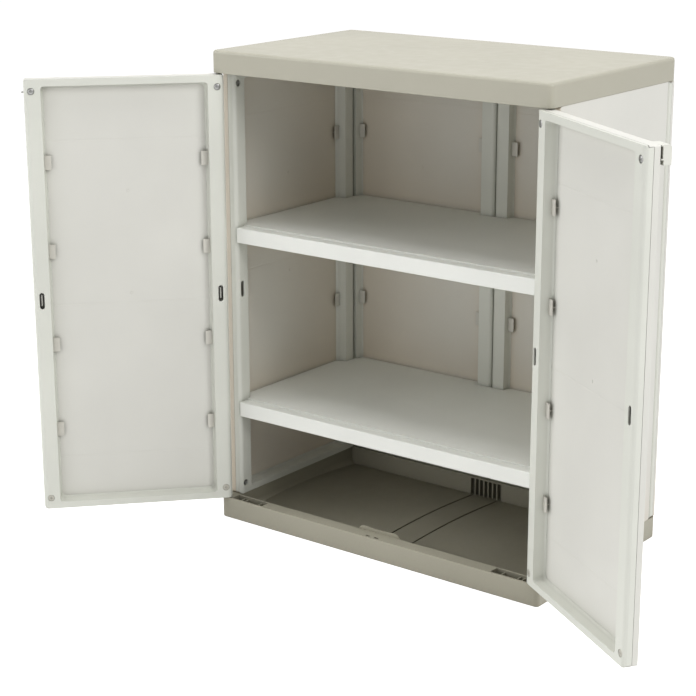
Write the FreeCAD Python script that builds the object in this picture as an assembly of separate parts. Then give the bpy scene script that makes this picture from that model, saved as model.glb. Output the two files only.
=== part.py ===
import FreeCAD, Part
import math
import os

from FreeCAD import Placement, Rotation, Vector

os.makedirs("parts", exist_ok=True)

# Low resin utility cabinet with two doors, a lid, a base tray and two shelves.
# Millimetres. X runs to the right, the doors face -Y, Z is up.
# The origin is the centre of the base's underside, on the ground.

# Overall size
cabinet_width = 680.0
cabinet_depth = 390.0
cabinet_height = 850.0
lid_height = 39.0
base_height = 39.0
corner_radius = 8.0
corner_steps = 4

# Panel units: doors, sides and backs are one kind of two-part panel
door_thickness = 24.5
side_thickness = 25.0
back_thickness = 20.5
edge_inset = 0.5
meeting_gap = 3.0
back_seam = 0.6
side_seam = 0.5
door_to_side_gap = 2.0
door_end_gap = 2.0
outline_radius = 4.0
skin = 4.0
wall = 2.5
rail_width = 12.0
stile_width = 28.0
recess_draft = 1.5
recess_foot_radius = 5.0
recess_foot_turn = 65.0
recess_foot_steps = 2
recess_radius = 5.0
recess_corner_steps = 2
outline_steps = 2
stile_round = 8.0
stile_steps = 4
hollow_steps = 2
pan_round = 3.0
pan_steps = 3
pan_return_share = 0.44
rail_depth = 6.0
rail_gap = 1.0
part_line = 0.5
fixed_crease_heights = (132.0, 411.0, 690.0)
door_crease_heights = (91.0, 371.0, 660.0)
crease_width = 4.0
crease_depth = 0.4
pip_heights = (387.0, 570.0)
pip_radius = 2.2
pip_height = 0.6

# Small round holes and rods have flat sides: more where they show, fewer where they are hidden
seen_sides = 10
screw_sides = 8
hidden_sides = 6
overshoot = 1.0
tolerance = 0.01

# Long holes half way up each stile, each with a bar behind it
slot_length = 29.5
slot_width = 8.5
slot_end_radius = 4.0
slot_end_steps = 2
slot_centre = 13.5
slot_bar_width = 2.5
slot_bar_length = 20.0
slot_bar_setback = 3.0

# Screws and plugs near the stile ends
screw_inset = 12.0
screw_end_distance = 20.0
screw_head_radius = 5.5
screw_head_height = 1.6
screw_rim_share = 0.45
screw_shank_radius = 2.0
screw_length = 16.0
screw_clearance = 0.15
head_recess_radius = 6.3
head_recess_depth = 1.4
boss_radius = 4.2
deep_hole_radius = 6.0
deep_head_radius = 5.2
plug_head_radius = 5.8

# Clips that hold each panel in its frame
clip_offsets = (-239.5, -83.5, 83.5, 239.5)
clip_height = 25.0
clip_reach = 41.0
clip_thickness = 2.0
clip_stem = 5.0
clip_stem_width = 2.0
clip_stem_setback = 3.0
clip_clearance = 0.1

# Door pivots, near the outer front corners
pivot_from_end = 7.6
pivot_from_face = 7.6
pin_radius = 3.5
pin_fit = 0.05
pin_in_door = 14.0
pin_in_bore = 16.0
pin_end_space = 1.0
collar_radius = 5.6
collar_gap = 0.3
pivot_block = 14.0
left_open_angle = 132.6
right_open_angle = 147.3

# Latch: a tongue on the left door and a block on the right door
latch_proud = 16.0
latch_width = 30.0
latch_height = 21.0
latch_lip_height = 7.0
latch_slot = 2.6
latch_slot_height = 17.0
latch_slot_length = 20.0
latch_round = 3.0
tongue_thickness = 1.6
tongue_reach = 4.5
tongue_height = 3.0
tongue_straight_share = 0.6
tongue_clearance = 1.0
catch_plate_width = 28.0
catch_plate_height = 18.0
latch_screw_radius = 1.6
latch_screw_head_radius = 3.0
latch_screw_head_height = 1.2
catch_screw_shares = (0.27, 0.73)

# Base tray
floor_thickness = 4.0
front_rim = 25.0
side_rim = 24.0
rear_rim = 29.0
base_wall = 3.0
rim_top = 3.0
foot_chamfer = 1.5
cove_radius = 12.0
cove_steps = 4
floor_crown = 7.0
crown_steps = 8
under_rib = 2.5
under_pitch = 80.0
groove_offset = 28.0
groove_width = 3.5
groove_depth = 1.5
pocket_start = 23.0
pocket_end = 94.0
pocket_depth = 30.0
pocket_rib_places = (38.0, 47.0, 78.0)
pocket_rib_drop = 4.0
pocket_rib = 2.0
stop_half_width = 43.0
stop_height = 7.0
stop_thickness = 2.5
stop_clearance = 0.4
stop_shoulder = 30.0
stop_saddle_depth = 1.2
catch_hole_offset = 9.0
catch_hole_length = 9.0
catch_hole_width = 4.5
catch_hole_from_front = 6.0
catch_hole_depth = 30.0
socket_half_width = 34.0
socket_depth = 9.0
socket_rib = 2.5
socket_rib_count = 6

# Connectors: bars that stand in sockets of the base and lid and inside the stile ends
spigot_width = 14.0
spigot_height = 30.0
spigot_clearance = 0.5
spigot_start = 7.0
spigot_setback = 1.0
tenon_length = 12.0
tenon_clearance = 0.2
spigot_seat = 26.0

# Lid
lid_skin = 3.0
lid_round = 5.0
lid_round_steps = 3
lid_edge_chamfer = 0.8
lid_grid_rib = 2.5
lid_grid_height = 10.0
lid_grid_rows = 2
lid_grid_columns = 4

# Shelves
upper_shelf_top = 538.0
lower_shelf_top = 216.5
shelf_lip = 27.0
shelf_skin = 3.0
shelf_band = 20.0
deck_rise = 2.5
shelf_clearance = 0.5
recess_clearance = 1.0
shelf_skirt = 16.0
shelf_rib = 2.0
shelf_rib_height = 12.0
shelf_rib_columns = 7
shelf_rib_rows = 1
shelf_lip_round = 2.0
peg_width = 12.0
peg_reach = 8.0
peg_height = 9.0
peg_shank_radius = 3.4
peg_shank_length = 9.0
peg_fit = 0.1

# Places that follow from the sizes
half_width = cabinet_width / 2
half_depth = cabinet_depth / 2
lid_bottom = cabinet_height - lid_height
fixed_height = lid_bottom - base_height
door_height = fixed_height - 2 * door_end_gap
door_bottom = base_height + door_end_gap
door_width = half_width - edge_inset - meeting_gap / 2
back_width = half_width - edge_inset - back_seam / 2
side_front = -half_depth + edge_inset + door_thickness + door_to_side_gap
side_rear = half_depth - edge_inset - back_thickness - side_seam
side_width = side_rear - side_front
side_inner_face = half_width - edge_inset - side_thickness
back_front = half_depth - edge_inset - back_thickness
pin_x = half_width - edge_inset - pivot_from_end
pin_y = -half_depth + edge_inset + pivot_from_face
foot_angle = math.radians(recess_foot_turn)
recess_foot_height = recess_foot_radius * math.sin(foot_angle)
recess_taper = recess_draft + recess_foot_radius * (1 - math.cos(foot_angle))


def box(x0, x1, y0, y1, z0, z1):
    return Part.makeBox(x1 - x0, y1 - y0, z1 - z0, Vector(x0, y0, z0))


def cylinder(radius, z_start, z_end, x, y):
    # Upright round rod, drawn as two halves
    centre = Vector(x, y, min(z_start, z_end))
    spots = []
    for quarter in range(4):
        angle = quarter * math.pi / 2
        spots.append(centre + Vector(radius * math.cos(angle), radius * math.sin(angle), 0))
    halves = [
        Part.Arc(spots[0], spots[1], spots[2]).toShape(),
        Part.Arc(spots[2], spots[3], spots[0]).toShape(),
    ]
    return Part.Face(Part.Wire(halves)).extrude(Vector(0, 0, abs(z_end - z_start)))


def ring_points(radius, height, sides):
    points = []
    for index in range(sides):
        angle = 2 * math.pi * (index + 0.5) / sides
        points.append(Vector(radius * math.cos(angle), radius * math.sin(angle), height))
    return points


def flat_sided_rod(radius, start, direction, length, sides):
    # Straight rod with a regular outline; the radius reaches its corners
    rod = polygon_prism(ring_points(radius, 0, sides), Vector(0, 0, length))
    rod.Placement = Placement(start, Rotation(Vector(0, 0, 1), direction))
    return rod


def fused(shapes):
    first = shapes[0]
    if len(shapes) == 1:
        return first
    return first.fuse(shapes[1:]).removeSplitter()


def stepped_corners(a0, a1, b0, b1, radius, steps):
    # Rectangle whose round corners are drawn in a few straight steps, as pairs of numbers
    corners = (
        (a1 - radius, b1 - radius, 0),
        (a0 + radius, b1 - radius, 90),
        (a0 + radius, b0 + radius, 180),
        (a1 - radius, b0 + radius, 270),
    )
    pairs = []
    for a, b, start in corners:
        for step in range(steps + 1):
            angle = math.radians(start + 90 * step / steps)
            pairs.append((a + radius * math.cos(angle), b + radius * math.sin(angle)))
    return pairs


def plan_points(x0, x1, y0, y1, z, radius, steps):
    return [Vector(x, y, z) for x, y in stepped_corners(x0, x1, y0, y1, radius, steps)]


def front_points(u0, u1, z0, z1, v, radius, steps):
    return [Vector(u, v, z) for u, z in stepped_corners(u0, u1, z0, z1, radius, steps)]


def flat_rounded(x0, x1, y0, y1, z0, z1, radius, steps):
    # Upright block whose four vertical edges are rounded
    return polygon_prism(plan_points(x0, x1, y0, y1, z0, radius, steps), Vector(0, 0, z1 - z0))


def closed_face(points):
    return Part.Face(Part.makePolygon(points + [points[0]]))


def tapered_solid(sections):
    # Solid through outlines with equal numbers of points, whose matching edges are parallel
    faces = [closed_face(sections[0]), closed_face(sections[-1])]
    for low, high in zip(sections, sections[1:]):
        for index in range(len(low)):
            following = (index + 1) % len(low)
            faces.append(closed_face([low[index], low[following], high[following], high[index]]))
    solid = Part.Solid(Part.Shell(faces))
    if solid.Volume < 0:
        solid.reverse()
    return solid


def polygon_prism(points, direction):
    return closed_face(points).extrude(direction)


def recess_cut(width, height, thickness, grow):
    # Well from the inner face down to the panel: a drafted wall with a hollow curve at its foot
    sections = [(thickness, 0.0)]
    for step in range(recess_foot_steps + 1):
        angle = foot_angle * step / recess_foot_steps
        v = skin + recess_foot_height - recess_foot_radius * math.sin(angle)
        sections.append((v, recess_draft + recess_foot_radius * (1 - math.cos(angle))))
    outlines = []
    for v, taper in sections:
        inset = taper - grow
        outlines.append(front_points(
            stile_width + inset, width - stile_width - inset,
            rail_width + inset, height - rail_width - inset,
            v, recess_radius + taper / 2 + grow, recess_corner_steps,
        ))
    return tapered_solid(outlines)


def screw_places(width, height):
    spots = []
    for u in (screw_inset, width - screw_inset):
        for z in (screw_end_distance, height - screw_end_distance):
            spots.append((u, z))
    return spots


def panel_pan(width, height, thickness, crease_heights):
    # Outer half of a unit: a smooth skin with returned edges, in local U, V, Z
    seam = thickness * pan_return_share
    rail_seam = thickness - rail_depth
    body = flat_rounded(0, width, 0, seam + pan_round, 0, height, pan_round, pan_steps)
    body = body.cut(box(-overshoot, width + overshoot, seam, seam + pan_round + overshoot,
                        -overshoot, height + overshoot))
    body = body.cut(box(wall, width - wall, skin, seam + overshoot, wall, height - wall))
    ends = flat_rounded(0, width, seam - stile_round, thickness, 0, height, stile_round, stile_steps)
    for z0 in (0.0, height - wall):
        body = body.fuse(ends.common(box(0, width, seam, rail_seam, z0, z0 + wall)))
    for z in crease_heights:
        body = body.cut(crease(width, z))
    for z in pip_heights:
        foot = Vector(width / 2, skin - overshoot, z)
        reach = overshoot + pip_height
        body = body.fuse(flat_sided_rod(pip_radius, foot, Vector(0, 1, 0), reach, hidden_sides))
    for u in (slot_centre, width - slot_centre):
        body = body.fuse(box(
            u - slot_bar_width / 2, u + slot_bar_width / 2,
            skin - overshoot, thickness - wall - slot_bar_setback,
            (height - slot_bar_length) / 2, (height + slot_bar_length) / 2,
        ))
    return body.common(unit_outline(width, height, thickness))


def crease(width, z):
    # Shallow V-shaped crease across the inner side of a panel
    half = crease_width / 2
    points = [
        Vector(wall, skin, z - half), Vector(wall, skin - crease_depth, z), Vector(wall, skin, z + half),
        Vector(wall, skin + overshoot, z + half), Vector(wall, skin + overshoot, z - half),
    ]
    return polygon_prism(points, Vector(width - 2 * wall, 0, 0))


def unit_outline(width, height, thickness):
    # Block with the eased corners that a unit has as seen from the front
    points = front_points(0, width, 0, height, -overshoot, outline_radius, outline_steps)
    return polygon_prism(points, Vector(0, thickness + 2 * overshoot, 0))


def panel_frame(width, height, thickness, return_inset):
    # Inner half of a unit: two rounded stiles, two rails and the sloping wall of the recess
    seam = thickness * pan_return_share + part_line
    plate = thickness - wall
    rail_back = thickness - rail_depth + rail_gap
    shell = flat_rounded(0, width, seam - stile_round, thickness, 0, height, stile_round, stile_steps)
    shell = shell.cut(box(-overshoot, width + overshoot, seam - stile_round - overshoot, seam,
                          -overshoot, height + overshoot))
    shell = shell.cut(flat_rounded(
        wall, width - wall, seam - stile_round, plate, -overshoot, height + overshoot,
        stile_round - wall, hollow_steps,
    ))
    end_cut = wall + part_line
    for z0, z1 in ((-overshoot, end_cut), (height - end_cut, height + overshoot)):
        shell = shell.cut(box(-overshoot, width + overshoot, seam - overshoot, rail_back, z0, z1))
    shell = shell.fuse(rail_returns(width, height, rail_back, plate, return_inset))
    shell = shell.fuse(recess_cut(width, height, thickness, wall))
    shell = shell.cut(recess_cut(width, height, thickness, 0.0))
    return shell.common(unit_outline(width, height, thickness))


def rail_returns(width, height, rail_back, plate, inset):
    # Short returns of the two rails, which give the frame its visible depth at the unit's ends
    returns = []
    for z0 in (0.0, height - wall):
        returns.append(box(inset, width - inset, rail_back, plate + overshoot, z0, z0 + wall))
    return returns


def cut_long_holes(frame, width, height, thickness):
    for u in (slot_centre, width - slot_centre):
        points = front_points(
            u - slot_width / 2, u + slot_width / 2, (height - slot_length) / 2, (height + slot_length) / 2,
            thickness - wall - overshoot, slot_end_radius, slot_end_steps,
        )
        frame = frame.cut(polygon_prism(points, Vector(0, wall + 2 * overshoot, 0)))
    return frame


def door_frame(width, height, thickness):
    frame = cut_long_holes(panel_frame(width, height, thickness, wall), width, height, thickness)
    back = Vector(0, -1, 0)
    hole_radius = screw_shank_radius + screw_clearance
    for u, z in screw_places(width, height):
        start = Vector(u, thickness + overshoot, z)
        frame = frame.cut([
            flat_sided_rod(head_recess_radius, start, back, head_recess_depth + overshoot, seen_sides),
            flat_sided_rod(hole_radius, start, back, wall + 2 * overshoot, hidden_sides),
        ])
    return frame


def door_pan(width, height, thickness):
    # The door's outer half also carries the screw bosses and the two pivot blocks
    pan = panel_pan(width, height, thickness, door_crease_heights)
    forward = Vector(0, 1, 0)
    boss_length = thickness - wall - skin
    additions = []
    for u, z in screw_places(width, height):
        foot = Vector(u, skin - overshoot, z)
        additions.append(flat_sided_rod(boss_radius, foot, forward, boss_length + overshoot, screw_sides))
    for z0 in (0.0, height - pivot_block - wall):
        z1 = z0 + pivot_block + wall
        additions.append(box(pan_round, pivot_block, pan_round, pivot_block, z0, z1))
        additions.append(box(wall / 2, pivot_block, pan_round, thickness * pan_return_share, z0, z1))
    pan = pan.fuse(additions)
    pan = pan.common(unit_outline(width, height, thickness)).removeSplitter()
    hole_radius = screw_shank_radius + screw_clearance
    cuts = []
    for u, z in screw_places(width, height):
        start = Vector(u, skin + 2 * overshoot, z)
        cuts.append(flat_sided_rod(hole_radius, start, forward, boss_length, hidden_sides))
    for z, way in ((0.0, 1), (height, -1)):
        start = Vector(pivot_from_end, pivot_from_face, z - way * overshoot)
        depth = pin_in_door + pin_end_space / 2 + overshoot
        cuts.append(flat_sided_rod(pin_radius + pin_fit, start, Vector(0, 0, way), depth, hidden_sides))
    return pan.cut(cuts)


def spigot_box(thickness, width, near_start, z0, z1, grow):
    # Room of one spigot inside a stile end, in the unit's local U, V, Z
    v0 = skin + spigot_clearance + spigot_setback
    deep = thickness - wall - spigot_clearance - v0
    u0 = spigot_start if near_start else width - spigot_start - spigot_width
    return box(u0 - grow, u0 + spigot_width + grow, v0 - grow, v0 + deep + grow, z0, z1)


def fixed_pan(width, height, thickness):
    pan = panel_pan(width, height, thickness, fixed_crease_heights)
    for near_start in (True, False):
        for z0, z1 in ((-overshoot, wall + overshoot), (height - wall - overshoot, height + overshoot)):
            pan = pan.cut(spigot_box(thickness, width, near_start, z0, z1, spigot_clearance))
    return pan


def fixed_frame(width, height, thickness):
    return_inset = spigot_start + spigot_width + spigot_clearance
    frame = cut_long_holes(panel_frame(width, height, thickness, return_inset), width, height, thickness)
    back = Vector(0, -1, 0)
    for u, z in screw_places(width, height):
        start = Vector(u, thickness + overshoot, z)
        frame = frame.cut(flat_sided_rod(deep_hole_radius, start, back, wall + 2 * overshoot, seen_sides))
    return frame


def connector(width, thickness, near_start, foot, way):
    # Bar with a cross hole for the screw; foot is the face of the base or lid that it stands in
    levels = sorted((foot - way * tenon_length, foot + way * spigot_height))
    body = spigot_box(thickness, width, near_start, levels[0], levels[1], 0.0)
    u = screw_inset if near_start else width - screw_inset
    start = Vector(u, 0, foot + way * screw_end_distance)
    hole_radius = screw_shank_radius + screw_clearance
    return body.cut(flat_sided_rod(hole_radius, start, Vector(0, 1, 0), thickness, hidden_sides))


def connector_socket(width, thickness, near_start, foot, way):
    levels = sorted((foot - way * (tenon_length + tenon_clearance), foot + way * overshoot))
    return spigot_box(thickness, width, near_start, levels[0], levels[1], tenon_clearance)


def screw(u, v, z, head_radius, length):
    # Screw driven towards -V, with a chamfered head whose underside lies at v
    straight = screw_head_height * screw_rim_share
    slope = screw_head_height - straight
    head = tapered_solid([
        ring_points(head_radius, 0, screw_sides), ring_points(head_radius, straight, screw_sides),
        ring_points(head_radius - slope, screw_head_height, screw_sides),
    ])
    shank = flat_sided_rod(screw_shank_radius, Vector(0, 0, -length), Vector(0, 0, 1), length, hidden_sides)
    piece = head.fuse(shank).removeSplitter()
    piece.Placement = Placement(Vector(u, v, z), Rotation(Vector(0, 0, 1), Vector(0, 1, 0)))
    return piece


def door_screws(width, height, thickness):
    z = height - screw_end_distance
    v = thickness - head_recess_depth
    solids = []
    for u in (screw_inset, width - screw_inset):
        solids.append(screw(u, v, z, screw_head_radius, screw_length))
    return solids


def door_plugs(width, thickness):
    v = thickness - head_recess_depth
    solids = []
    for u in (screw_inset, width - screw_inset):
        solids.append(screw(u, v, screw_end_distance, plug_head_radius, screw_length))
    return solids


def fixed_screws(width, height, thickness):
    # These sit in holes of the stile, on the connector that they hold
    seat = thickness - wall - spigot_clearance
    inward = Vector(0, -1, 0)
    solids = []
    for u, z in screw_places(width, height):
        top = Vector(u, seat + screw_head_height, z)
        head = flat_sided_rod(deep_head_radius, top, inward, screw_head_height, screw_sides)
        shank = flat_sided_rod(screw_shank_radius, Vector(u, seat, z), inward, spigot_width / 2, hidden_sides)
        solids.append(head.fuse(shank))
    return solids


def panel_clips(width, height, thickness):
    # Small T-shaped clips between the recess wall and the panel, cut to the wall's curve
    well = recess_cut(width, height, thickness, -clip_clearance)
    top = skin + clip_stem + clip_thickness
    solids = []
    for offset in clip_offsets:
        middle = height / 2 + offset
        half = clip_height / 2
        plate = box(stile_width, clip_reach, skin + clip_stem, top, middle - half, middle + half)
        stem = box(
            stile_width, clip_reach - clip_stem_setback, skin, skin + clip_stem,
            middle - clip_stem_width / 2, middle + clip_stem_width / 2,
        )
        clip = plate.fuse(stem).common(well)
        solids.append(clip)
        solids.append(clip.mirror(Vector(width / 2, 0, 0), Vector(1, 0, 0)))
    return solids


def door_pins(height):
    # Upper and lower pivot pins, round where they turn and six-sided in the door that turns them;
    # the lower one has a collar that carries the door
    x = pivot_from_end
    y = pivot_from_face
    up = Vector(0, 0, 1)
    outside = door_end_gap + pin_in_bore
    collar_foot = collar_gap - door_end_gap
    lower = cylinder(pin_radius, -outside, collar_foot, x, y).fuse([
        flat_sided_rod(collar_radius, Vector(x, y, collar_foot), up, -collar_foot, seen_sides),
        flat_sided_rod(pin_radius, Vector(x, y, 0), up, pin_in_door, hidden_sides),
    ])
    key = flat_sided_rod(pin_radius, Vector(x, y, height - pin_in_door), up, pin_in_door, hidden_sides)
    upper = cylinder(pin_radius, height, height + outside, x, y).fuse(key)
    return [lower, upper]


def latch_levels(height):
    # Heights of the latch block's top, its underside and the lip's end, from the door's bottom
    top = height - edge_inset
    under = top - latch_height
    return top, under, under - latch_lip_height


def latch_block(width, height):
    top, under, lip_end = latch_levels(height)
    lip_back = -latch_slot - tongue_clearance
    profile = [
        Vector(width, 0, under), Vector(width, 0, top),
        Vector(width, -latch_proud + latch_round, top), Vector(width, -latch_proud, top - latch_round),
        Vector(width, -latch_proud, lip_end), Vector(width, lip_back, lip_end), Vector(width, lip_back, under),
    ]
    body = polygon_prism(profile, Vector(-latch_width, 0, 0))
    upright = [edge for edge in body.Edges
               if edge.BoundBox.ZLength > latch_height / 2 and edge.BoundBox.YMax < -latch_proud + tolerance]
    outer = [edge for edge in upright if edge.BoundBox.XMax < width - tolerance]
    body = body.makeFillet(latch_round, outer)
    slot_low = under + (latch_height - latch_slot_height) / 2
    slot = box(
        width - latch_slot_length, width + overshoot, -latch_slot, overshoot,
        slot_low, slot_low + latch_slot_height,
    )
    return body.cut(slot)


def catch_plate(width, height):
    # Thin steel plate on the left door's outer face with a pointed tongue past its edge
    top, under, lip_end = latch_levels(height)
    high = under - tongue_clearance
    low = high - catch_plate_height
    start = width - catch_plate_width
    shoulder = width + tongue_reach * tongue_straight_share
    outline = [
        (start + latch_round, low), (width, low), (width, high - tongue_height),
        (shoulder, high - tongue_height), (width + tongue_reach, high - tongue_height / 2), (shoulder, high),
        (start + latch_round, high), (start, high - latch_round), (start, low + latch_round),
    ]
    plate = polygon_prism([Vector(u, 0, z) for u, z in outline], Vector(0, -tongue_thickness, 0))
    for u, z in catch_screw_places(width, height):
        plate = plate.cut(catch_screw_hole(u, z, tongue_thickness))
    return plate


def catch_screw_hole(u, z, reach):
    start = Vector(u, -reach - overshoot, z)
    length = reach + skin + 2 * overshoot
    return flat_sided_rod(latch_screw_radius + screw_clearance, start, Vector(0, 1, 0), length, hidden_sides)


def catch_screw_places(width, height):
    top, under, lip_end = latch_levels(height)
    middle = under - tongue_clearance - catch_plate_height / 2
    start = width - catch_plate_width
    return [(start + catch_plate_width * share, middle) for share in catch_screw_shares]


def catch_screws(width, height):
    solids = []
    for u, z in catch_screw_places(width, height):
        seat = Vector(u, -tongue_thickness, z)
        head = flat_sided_rod(
            latch_screw_head_radius, seat, Vector(0, -1, 0), latch_screw_head_height, screw_sides,
        )
        shank = flat_sided_rod(
            latch_screw_radius, seat, Vector(0, 1, 0), tongue_thickness + skin - overshoot, hidden_sides,
        )
        solids.append(head.fuse(shank))
    return solids


def door_pan_with_catch_holes(width, height, thickness):
    pan = door_pan(width, height, thickness)
    for u, z in catch_screw_places(width, height):
        pan = pan.cut(catch_screw_hole(u, z, 0.0))
    return pan


def rounded_body(levels):
    # Block of the cabinet's plan; each level has its height and how far its outline is set in
    outlines = []
    for z, inset in levels:
        outlines.append(plan_points(
            -half_width + inset, half_width - inset, -half_depth + inset, half_depth - inset,
            z, corner_radius - inset, corner_steps,
        ))
    return tapered_solid(outlines)


def base_body():
    return rounded_body([(0, foot_chamfer), (foot_chamfer, 0), (base_height, 0)])


def tray_profile_cut():
    # Sunk tray with coved side corners, swept from the front rim to the rear rim
    x = half_width - side_rim
    start = -half_depth + front_rim
    high = base_height + overshoot
    half = [(x, high)]
    for step in range(cove_steps + 1):
        angle = math.pi / 2 * step / cove_steps
        half.append((
            x - cove_radius * (1 - math.cos(angle)), floor_thickness + cove_radius * (1 - math.sin(angle)),
        ))
    points = [Vector(a, start, z) for a, z in half]
    points += [Vector(-a, start, z) for a, z in reversed(half)]
    return polygon_prism(points, Vector(0, cabinet_depth - front_rim - rear_rim, 0))


def crowned_floor():
    # The floor is arched a little from front to rear
    y0 = -half_depth + front_rim
    y1 = half_depth - rear_rim
    x = half_width - side_rim + overshoot
    points = []
    for step in range(crown_steps + 1):
        share = step / crown_steps
        rise = 4 * floor_crown * share * (1 - share)
        points.append(Vector(-x, y0 + (y1 - y0) * share, floor_thickness + rise))
    points.append(Vector(-x, y1, foot_chamfer))
    points.append(Vector(-x, y0, foot_chamfer))
    return polygon_prism(points, Vector(2 * x, 0, 0))


def hollow_row(start, end, pitch, rib, make_cell):
    # Cells between cross ribs, spread evenly from start to end
    count = max(1, int(round((end - start) / pitch)))
    cell = (end - start - (count - 1) * rib) / count
    cells = []
    for index in range(count):
        low = start + index * (cell + rib)
        cells.append(make_cell(low, low + cell))
    return cells


def base_under_cells():
    # The side and rear walls are hollow from below, with cross ribs
    top = base_height - rim_top
    inner = half_width - side_rim + base_wall
    outer = half_width - base_wall
    y0 = -half_depth + front_rim + spigot_seat
    y1 = half_depth - rear_rim - spigot_seat
    cells = []
    for x0, x1 in ((-outer, -inner), (inner, outer)):
        cells += hollow_row(y0, y1, under_pitch, under_rib,
                            lambda low, high, a=x0, b=x1: box(a, b, low, high, -overshoot, top))
    rear0 = half_depth - rear_rim + base_wall
    rear1 = half_depth - base_wall
    middle = socket_half_width + base_wall
    free = inner - spigot_width
    for x0, x1 in ((-free, -middle), (middle, free)):
        cells += hollow_row(x0, x1, under_pitch, under_rib,
                            lambda low, high: box(low, high, rear0, rear1, -overshoot, top))
    return cells


def front_rim_cells():
    # The front rim is hollow from below between the two hinge pockets
    top = base_height - rim_top
    y0 = -half_depth + base_wall
    y1 = -half_depth + front_rim - base_wall
    start = -half_width + pocket_end + base_wall
    middle = catch_hole_offset + catch_hole_length + base_wall
    cells = []
    for x0, x1 in ((start, -middle), (middle, -start)):
        cells += hollow_row(x0, x1, under_pitch, under_rib,
                            lambda low, high: box(low, high, y0, y1, -overshoot, top))
    return cells


def hinge_pocket(side):
    # Open-topped pocket beside each lower pivot, with cross ribs left standing in it
    low = base_height - pocket_depth
    y0 = -half_depth + base_wall
    y1 = -half_depth + front_rim - base_wall
    xa = side * (half_width - pocket_start)
    xb = side * (half_width - pocket_end)
    pocket = box(min(xa, xb), max(xa, xb), y0, y1, low, base_height + overshoot)
    for place in pocket_rib_places:
        x = side * (half_width - place)
        pocket = pocket.cut(box(x - pocket_rib / 2, x + pocket_rib / 2, y0 - overshoot, y1 + overshoot,
                                low - overshoot, base_height - pocket_rib_drop))
    return pocket


def door_stop():
    # Upstanding lip behind the meeting doors: a low arch with rounded shoulders and a shallow saddle
    y0 = -half_depth + edge_inset + door_thickness + stop_clearance
    base_z = base_height - overshoot
    peak = base_height + stop_height
    half = stop_half_width
    corner = stop_shoulder + (half - stop_shoulder) * math.sin(math.pi / 4)
    bend = base_height + stop_height * math.sin(math.pi / 4)
    edges = [
        Part.Arc(Vector(-half, y0, base_height), Vector(-corner, y0, bend),
                 Vector(-stop_shoulder, y0, peak)).toShape(),
        Part.Arc(Vector(-stop_shoulder, y0, peak), Vector(0, y0, peak - stop_saddle_depth),
                 Vector(stop_shoulder, y0, peak)).toShape(),
        Part.Arc(Vector(stop_shoulder, y0, peak), Vector(corner, y0, bend),
                 Vector(half, y0, base_height)).toShape(),
        Part.makeLine(Vector(half, y0, base_height), Vector(half, y0, base_z)),
        Part.makeLine(Vector(half, y0, base_z), Vector(-half, y0, base_z)),
        Part.makeLine(Vector(-half, y0, base_z), Vector(-half, y0, base_height)),
    ]
    lip = Part.Face(Part.Wire(edges)).extrude(Vector(0, stop_thickness, 0))
    behind = box(-half, half, -half_depth + front_rim - overshoot, y0 + stop_thickness,
                 floor_thickness - overshoot, base_height)
    return [lip, behind]


def catch_holes():
    # Two slots in the rim, one under each door's free corner
    cuts = []
    half_length = catch_hole_length / 2
    y = -half_depth + catch_hole_from_front
    for side in (-1, 1):
        x = side * catch_hole_offset
        cuts.append(box(
            x - half_length, x + half_length, y - catch_hole_width / 2, y + catch_hole_width / 2,
            base_height - catch_hole_depth, base_height + overshoot,
        ))
    return cuts


def centre_socket():
    # Ribbed pocket in the rear wall, under the two middle stiles
    y0 = half_depth - rear_rim
    pocket = box(-socket_half_width, socket_half_width, y0 - overshoot, y0 + socket_depth,
                 floor_thickness, base_height - rim_top)
    pitch = 2 * socket_half_width / (socket_rib_count + 1)
    for index in range(socket_rib_count):
        x = -socket_half_width + pitch * (index + 1)
        pocket = pocket.cut(box(x - socket_rib / 2, x + socket_rib / 2,
                                y0 - 2 * overshoot, y0 + socket_depth + overshoot, 0, base_height))
    return pocket


def floor_grooves():
    cuts = []
    y0 = -half_depth + front_rim + 2 * stop_thickness
    y1 = half_depth - rear_rim
    for side in (-1, 1):
        x = side * groove_offset
        cuts.append(box(x - groove_width / 2, x + groove_width / 2, y0, y1,
                        floor_thickness - groove_depth, floor_thickness + floor_crown + overshoot))
    return cuts


def pin_bores(start_z, way, depth):
    bores = []
    for side in (-1, 1):
        bores.append(cylinder(
            pin_radius + pin_fit, start_z - way * overshoot, start_z + way * depth, side * pin_x, pin_y,
        ))
    return bores


def unit_places():
    # Placement of each fixed unit; V points into the cabinet
    left_side = Placement(Vector(-half_width + edge_inset, side_rear, 0), Rotation(Vector(0, 0, 1), -90))
    left_back = Placement(Vector(-back_seam / 2, half_depth - edge_inset, 0), Rotation(Vector(0, 0, 1), 180))
    return left_side, left_back


def moved(shape, placement, lift):
    copy = shape.copy()
    copy.Placement = placement.multiply(copy.Placement)
    copy.translate(Vector(0, 0, lift))
    return copy


def mirrored(shape):
    return shape.mirror(Vector(0, 0, 0), Vector(1, 0, 0))


def at_stile_ends(make_piece, foot, way):
    # One piece at each of the eight stile ends that meet the base or the lid
    left_side, left_back = unit_places()
    solids = []
    for near_start in (True, False):
        side = moved(make_piece(side_width, side_thickness, near_start, foot, way), left_side, 0)
        back = moved(make_piece(back_width, back_thickness, near_start, foot, way), left_back, 0)
        for solid in (side, back):
            solids.append(solid)
            solids.append(mirrored(solid))
    return solids


def make_base():
    base = base_body()
    base = base.cut(tray_profile_cut())
    base = base.fuse(door_stop() + [crowned_floor()])
    cuts = base_under_cells() + front_rim_cells() + catch_holes() + floor_grooves()
    cuts += [hinge_pocket(-1), hinge_pocket(1), centre_socket()]
    cuts += at_stile_ends(connector_socket, base_height, 1)
    base = base.cut(cuts).removeSplitter()
    return base.cut(pin_bores(base_height, -1, pin_in_bore + pin_end_space))


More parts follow.
